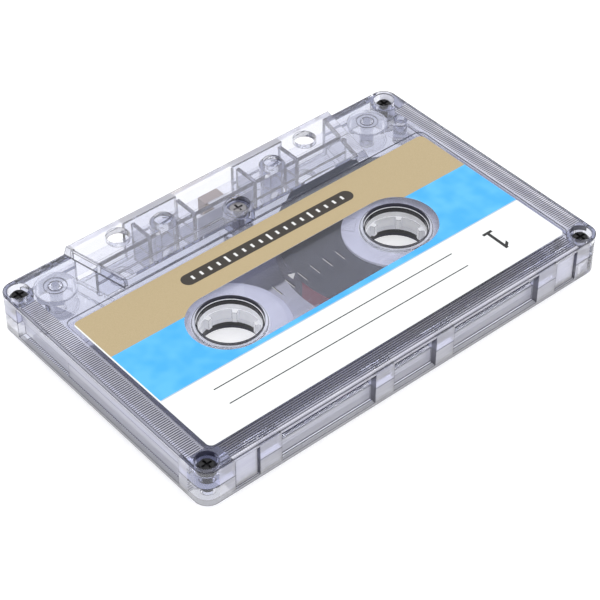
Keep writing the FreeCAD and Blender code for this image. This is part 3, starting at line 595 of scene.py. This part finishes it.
def dress(material, *names):
    """Gives CAD nodes a material of their own."""
    for name in names:
        for slot in nodes[name].material_slots:
            slot.link = "OBJECT"
            slot.material = material


dress(clear_shell(), "shell_a", "shell_b")
dress(slip_film(), "slip_sheet_a", "slip_sheet_b")
dress(frosted("hub_plastic", (0.96, 0.965, 0.98), 0.3, 0.35, lip=True),
      "supply_hub", "takeup_hub")
dress(frosted("clamp_plastic", (0.94, 0.945, 0.96), 0.3, 0.35),
      "supply_hub_clamp", "takeup_hub_clamp")
dress(frosted("leader_film", (0.84, 0.85, 0.89), 0.3, 0.4), "takeup_leader_winding")
dress(thin_clear("roller_plastic", (0.95, 0.95, 0.97), (0.2, 0.2, 0.24)),
      "guide_roller_left", "guide_roller_right")
dress(wound_tape(), "supply_tape_pack")
dress(thin_clear("leader_strand", (0.95, 0.95, 0.98), (0.7, 0.7, 0.75)), "tape_strand")
dress(felt(), "pressure_pad")
dress(metal("shield_metal", (0.86, 0.86, 0.90), 0.45, (1, 8, 8)), "shield_plate")
dress(metal("bright_screw", (0.40, 0.39, 0.41), 0.3, (4, 4, 1)), "screw_centre")
dress(black_screw(), "screw_front_left", "screw_rear_left",
      "screw_front_right", "screw_rear_right")


# The leaf spring is a copy of the CAD's leaf.
leaf = bpy.data.objects.new("leaf_spring", nodes["pad_spring"].data.copy())
leaf.data.materials.clear()
leaf.data.materials.append(metal("spring_bronze", (0.78, 0.62, 0.42), 0.25, (1, 8, 8)))
bpy.context.scene.collection.objects.link(leaf)
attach(leaf, "shell")
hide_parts("pad_spring")
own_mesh(leaf)


# Both labels, cut round a slightly narrower window than the CAD's sheets have
SLOT_X, SLOT_RADIUS = 21.85, 8.1
LABEL_CORNER = 1.2


def arc(middle_x, middle_y, radius, start, stop, steps):
    """Points along an arc, in millimetres and degrees."""
    points = []
    for i in range(steps + 1):
        angle = math.radians(start + (stop - start) * i / steps)
        points.append((middle_x + radius * math.cos(angle), middle_y + radius * math.sin(angle)))
    return points


def label_sheet(name, low, high, material):
    """A rounded sheet with one slot, between two corners in millimetres."""
    outline = []
    inset_x, inset_y = high.x - LABEL_CORNER, LABEL_CORNER
    outline += arc(inset_x, high.y - inset_y, LABEL_CORNER, 0, 90, 6)
    outline += arc(-inset_x, high.y - inset_y, LABEL_CORNER, 90, 180, 6)
    outline += arc(-inset_x, low.y + inset_y, LABEL_CORNER, 180, 270, 6)
    outline += arc(inset_x, low.y + inset_y, LABEL_CORNER, 270, 360, 6)
    slot = arc(SLOT_X, HUB_Y, SLOT_RADIUS, -90, 90, 40)
    slot += arc(-SLOT_X, HUB_Y, SLOT_RADIUS, 90, 270, 40)
    shape = bmesh.new()
    for loop in (outline, slot):
        ring = [shape.verts.new((x * MM, y * MM, low.z * MM)) for x, y in loop]
        for i, vert in enumerate(ring):
            shape.edges.new((vert, ring[(i + 1) % len(ring)]))
    bmesh.ops.triangle_fill(shape, use_beauty=True, edges=shape.edges[:])
    raised = bmesh.ops.extrude_face_region(shape, geom=shape.faces[:])
    moved = [item for item in raised["geom"] if isinstance(item, bmesh.types.BMVert)]
    bmesh.ops.translate(shape, verts=moved, vec=(0, 0, (high.z - low.z) * MM))
    bmesh.ops.recalc_face_normals(shape, faces=shape.faces[:])
    mesh = bpy.data.meshes.new(name)
    shape.to_mesh(mesh)
    shape.free()
    mesh.materials.append(material)
    piece = bpy.data.objects.new(name, mesh)
    bpy.context.scene.collection.objects.link(piece)
    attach(piece, "shell")
    return piece


upper_label = label_sheet(
    "label_sheet_1", LABEL_LOW, LABEL_HIGH, label_print("printed_label_1", 1))
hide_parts("label_a")
LOWER_LABEL_LOW, LOWER_LABEL_HIGH = span_mm("label_b")
lower_label = label_sheet(
    "label_sheet_2", LOWER_LABEL_LOW, LOWER_LABEL_HIGH, label_print("printed_label_2", -1))
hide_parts("label_b")


# Thin printed marks in the window
def flat_mark(name, outline, low, high, material):
    """A thin printed shape: an outline in the XY plane, raised from low to high."""
    mesh = bpy.data.meshes.new(name)
    shape = bmesh.new()
    under = [shape.verts.new((x * MM, y * MM, low * MM)) for x, y in outline]
    over = [shape.verts.new((x * MM, y * MM, high * MM)) for x, y in outline]
    shape.faces.new(list(reversed(under)))
    shape.faces.new(over)
    for i in range(len(outline)):
        j = (i + 1) % len(outline)
        shape.faces.new((under[i], under[j], over[j], over[i]))
    shape.to_mesh(mesh)
    shape.free()
    piece = bpy.data.objects.new(name, mesh)
    bpy.context.scene.collection.objects.link(piece)
    mesh.materials.append(material)
    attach(piece, "shell")
    return piece


INK_THICK = 0.02
STROKE_PITCH = 3.2
STROKE_FIRST = 9.3
STROKE_COUNT = 6
STROKE_HALF = 0.10
STROKE_FROM, STROKE_TO = 1.6, 4.5
pale_ink = window_ink("pale_stroke", (0.50, 0.50, 0.54))
dark_ink = window_ink("dark_stroke", (0.05, 0.05, 0.06))
for i in range(STROKE_COUNT):
    middle = STROKE_FIRST - i * STROKE_PITCH
    for name, ink, shift in (("dark", dark_ink, 0.0), ("pale", pale_ink, STROKE_HALF * 2)):
        left = middle + shift - STROKE_HALF
        right = middle + shift + STROKE_HALF * (0.6 if name == "pale" else 1.0)
        flat_mark("window_stroke_%s_%d" % (name, i + 1), [
            (left, STROKE_FROM), (right, STROKE_FROM), (right, STROKE_TO), (left, STROKE_TO)],
            SEAT_TOP, SEAT_TOP + INK_THICK, ink)
flat_mark("window_arrow", [(3.5, 1.35), (5.0, 0.8), (5.0, 2.5)],
          SEAT_TOP, SEAT_TOP + INK_THICK, pale_ink)


# Floor, world and lamps
FLOOR_REACH, FLOOR_BELOW, FLOOR_GLOW = 3.0, 0.0002, 0.62
WORLD_HEIGHT = {"From Min": 0.05, "From Max": 0.75, "To Min": 0.6, "To Max": 1.0}


def studio_floor():
    """A pale floor that reads white to the camera and keeps a faint shadow."""
    g = Graph("studio_floor")
    path = g.tree.nodes.new("ShaderNodeLightPath")
    seen = g.math("MAXIMUM", path.outputs["Is Camera Ray"], path.outputs["Is Transmission Ray"])
    seen = g.math("MAXIMUM", seen, path.outputs["Is Glossy Ray"])
    paper = g.node("BsdfDiffuse", Color=(0.52, 0.52, 0.53))
    glow = g.node("Emission", Color=(1.0, 1.0, 1.0))
    g.tree.links.new(g.scaled(seen, FLOOR_GLOW), glow.inputs["Strength"])
    total = g.tree.nodes.new("ShaderNodeAddShader")
    g.tree.links.new(paper.outputs[0], total.inputs[0])
    g.tree.links.new(glow.outputs[0], total.inputs[1])
    mesh = bpy.data.meshes.new("studio_floor")
    far = FLOOR_REACH
    mesh.from_pydata(
        [(-far, -far, 0), (far, -far, 0), (far, far, 0), (-far, far, 0)], [], [(0, 1, 2, 3)])
    floor = bpy.data.objects.new("studio_floor", mesh)
    floor.location.z = -FLOOR_BELOW
    bpy.context.scene.collection.objects.link(floor)
    mesh.materials.append(g.finish(total))


studio_floor()


def studio_world():
    """White to the camera. Gloss and glass see a bright top and a grey horizon."""
    world = bpy.data.worlds.new("studio")
    world.use_nodes = True
    tree = world.node_tree
    tree.nodes.clear()
    out = tree.nodes.new("ShaderNodeOutputWorld")
    path = tree.nodes.new("ShaderNodeLightPath")
    place = tree.nodes.new("ShaderNodeTexCoord")
    split = tree.nodes.new("ShaderNodeSeparateXYZ")
    tree.links.new(place.outputs["Generated"], split.inputs[0])
    height = tree.nodes.new("ShaderNodeMapRange")
    for key, value in WORLD_HEIGHT.items():
        height.inputs[key].default_value = value
    tree.links.new(split.outputs["Z"], height.inputs["Value"])
    level = tree.nodes.new("ShaderNodeMath")
    level.operation = "MAXIMUM"
    tree.links.new(height.outputs["Result"], level.inputs[0])
    tree.links.new(path.outputs["Is Camera Ray"], level.inputs[1])
    back = tree.nodes.new("ShaderNodeBackground")
    back.inputs["Color"].default_value = (1.0, 1.0, 1.0, 1.0)
    tree.links.new(level.outputs[0], back.inputs["Strength"])
    tree.links.new(back.outputs[0], out.inputs["Surface"])
    bpy.context.scene.world = world


studio_world()


def area_lamp(name, place, size, power):
    """A square lamp that points at the origin."""
    data = bpy.data.lights.new(name, "AREA")
    data.shape = "SQUARE"
    data.size = size
    data.energy = power
    lamp = bpy.data.objects.new(name, data)
    lamp.location = place
    lamp.rotation_euler = (-Vector(place)).to_track_quat("-Z", "Y").to_euler()
    bpy.context.scene.collection.objects.link(lamp)


area_lamp("key_light", (-0.25, 0.30, 0.55), 0.35, 1.2)
area_lamp("fill_light", (0.45, 0.10, 0.35), 0.40, 0.5)


# Camera, set to the photograph's own view
CAMERA_AT = (185.170, 215.175, 259.086)
CAMERA_RIGHT = (-0.76065645, 0.64915337, 0.00128699)
CAMERA_DOWN = (0.43676758, 0.51325449, -0.73878543)
CAMERA_FORWARD = (-0.4802456, -0.56139979, -0.67393949)
FOCAL_SHARE = 1941.98 / 600
SENSOR = 36.0
camera_data = bpy.data.cameras.new("camera")
camera_data.sensor_width = SENSOR
camera_data.lens = SENSOR * FOCAL_SHARE
camera_data.clip_start = 0.01
camera_data.clip_end = 10.0
camera = bpy.data.objects.new("camera", camera_data)
right, down, forward = Vector(CAMERA_RIGHT), Vector(CAMERA_DOWN), Vector(CAMERA_FORWARD)
turned = Matrix((right, -down, -forward)).transposed().to_4x4()
camera.matrix_world = Matrix.Translation(Vector(CAMERA_AT) * MM) @ turned
bpy.context.scene.collection.objects.link(camera)
bpy.context.scene.camera = camera

bpy.context.scene.view_settings.view_transform = "Standard"
